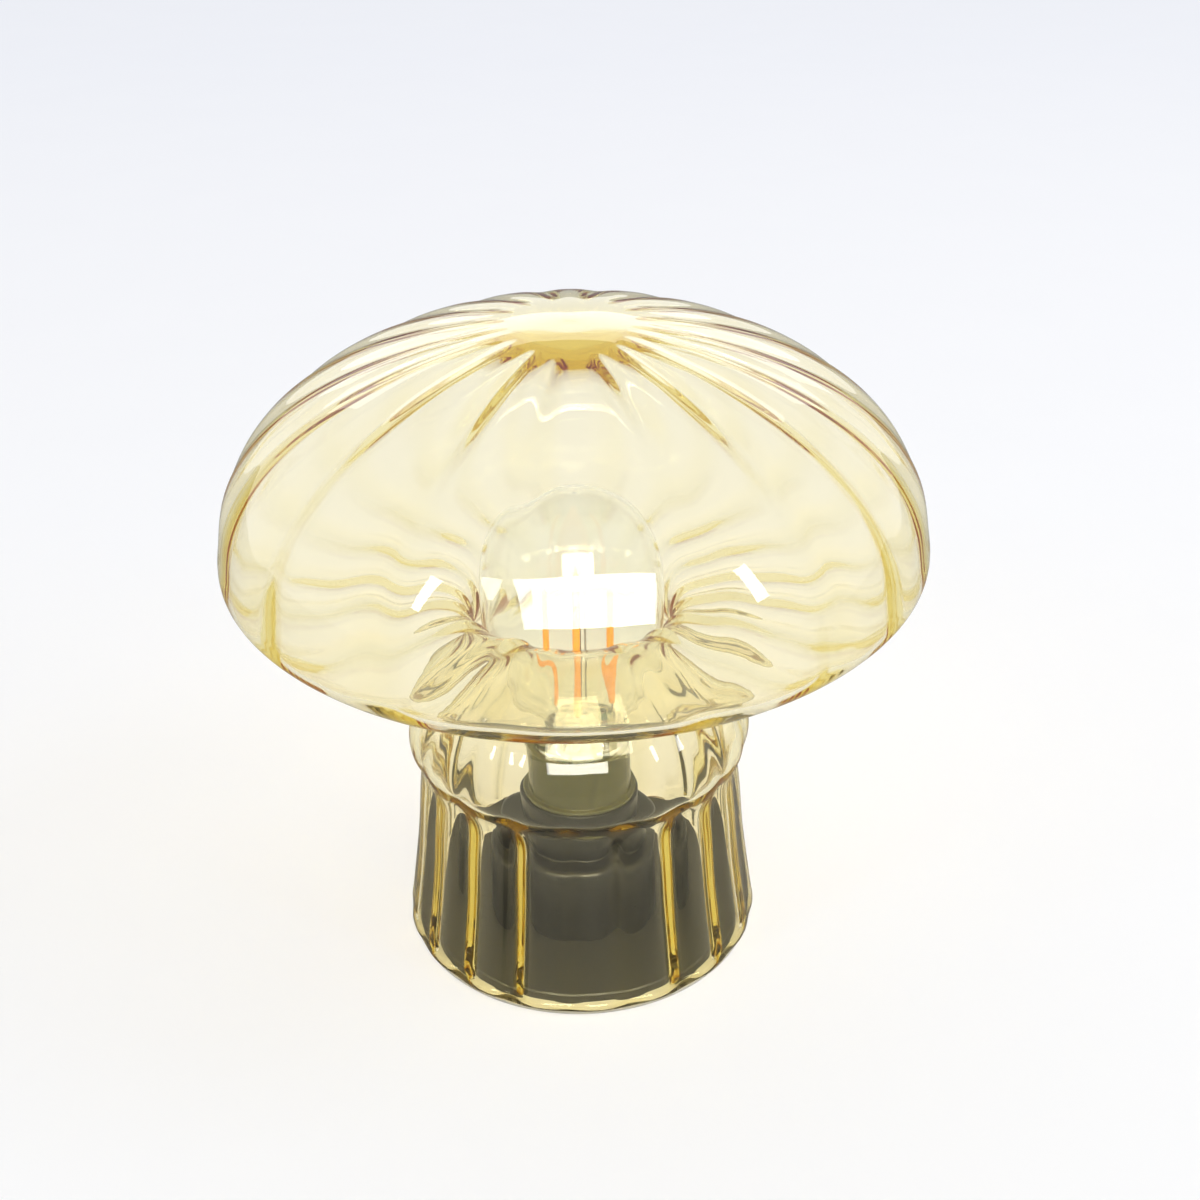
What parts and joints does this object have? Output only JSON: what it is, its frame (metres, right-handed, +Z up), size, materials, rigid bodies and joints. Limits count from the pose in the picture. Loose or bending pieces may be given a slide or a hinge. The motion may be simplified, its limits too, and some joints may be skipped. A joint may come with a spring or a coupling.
{
  "type": "mushroom table lamp",
  "caption": "Mushroom-shaped table lamp of amber ribbed glass, lit by a clear filament bulb on a battery tube standing in the hollow stem.",
  "frame": {"origin": "middle of the foot ring's underside, where the lamp stands", "axes": "+Z up along the glass's axis, -Y towards the front, the side that the picture shows"},
  "size_m": [0.1795, 0.1795, 0.1787],
  "materials": {
    "amber_glass": "blown optic glass, fire polished",
    "clear_glass": "thin clear blown glass",
    "black_abs": "moulded, fine satin",
    "socket_abs": "moulded, polished",
    "grey_abs": "moulded",
    "rubber": "matt pale sheet",
    "plated_steel": "nickel plated",
    "brass": "turned",
    "phosphor": "silicone and phosphor coat",
    "board_laminate": "solder mask",
    "chip_epoxy": "moulded",
    "chip_ceramic": "fired",
    "cell_jacket": "shrink sleeve",
    "phenolic": "punched sheet",
    "insulation_red": "extruded",
    "insulation_white": "extruded"
  },
  "bodies": {
    "root": {"glass_body": "amber_glass", "foot_ring": "rubber", "base_disc": "black_abs", "battery_tube": "black_abs", "screw_inserts": "brass", "tube_screws": "plated_steel", "cell_holder": "grey_abs", "battery_cell_1": "cell_jacket", "battery_cell_2": "cell_jacket", "battery_cell_3": "cell_jacket", "top_contact_single": "plated_steel", "top_contact_link": "plated_steel", "top_spring": "plated_steel", "negative_strip": "plated_steel", "switch_frame": "plated_steel", "switch_base": "phenolic", "switch_pins": "plated_steel", "lamp_socket": "socket_abs", "driver_board": "board_laminate", "board_screws": "plated_steel", "timer_chip": "chip_epoxy", "timing_crystal": "plated_steel", "chip_resistors": "chip_epoxy", "chip_capacitors": "chip_ceramic", "wire_red": "insulation_red", "wire_white": "insulation_white", "bulb_envelope": "clear_glass", "bulb_mount": "clear_glass", "filament_1": "phosphor", "filament_2": "phosphor", "filament_3": "phosphor", "filament_4": "phosphor", "bottom_support": "plated_steel", "top_cross": "plated_steel", "anode_lead": "plated_steel", "cathode_lead": "plated_steel"},
    "switch_slider": {"switch_slider": "black_abs"},
    "battery_door": {"battery_door": "black_abs", "door_contact_single": "plated_steel", "door_contact_link": "plated_steel", "door_springs": "plated_steel"},
    "door_screw_left": {"door_screw_left": "plated_steel"},
    "door_screw_right": {"door_screw_right": "plated_steel"}
  },
  "joints": [
    {"name": "switch_slide", "type": "slide", "parent": "root", "child": "switch_slider", "axis": [1, 0, 0], "range_m": [-0.002, 0.002]},
    {"name": "door_release", "type": "slide", "parent": "root", "child": "battery_door", "axis": [0, 0, -1], "range_m": [0, 0.06]},
    {"name": "left_screw_turn", "type": "hinge", "parent": "battery_door", "child": "door_screw_left", "pos_m": [-0.0158, 0, 0.0012], "axis": [0, 0, 1], "continuous": true},
    {"name": "right_screw_turn", "type": "hinge", "parent": "battery_door", "child": "door_screw_right", "pos_m": [0.0158, 0, 0.0012], "axis": [0, 0, 1], "continuous": true}
  ]
}
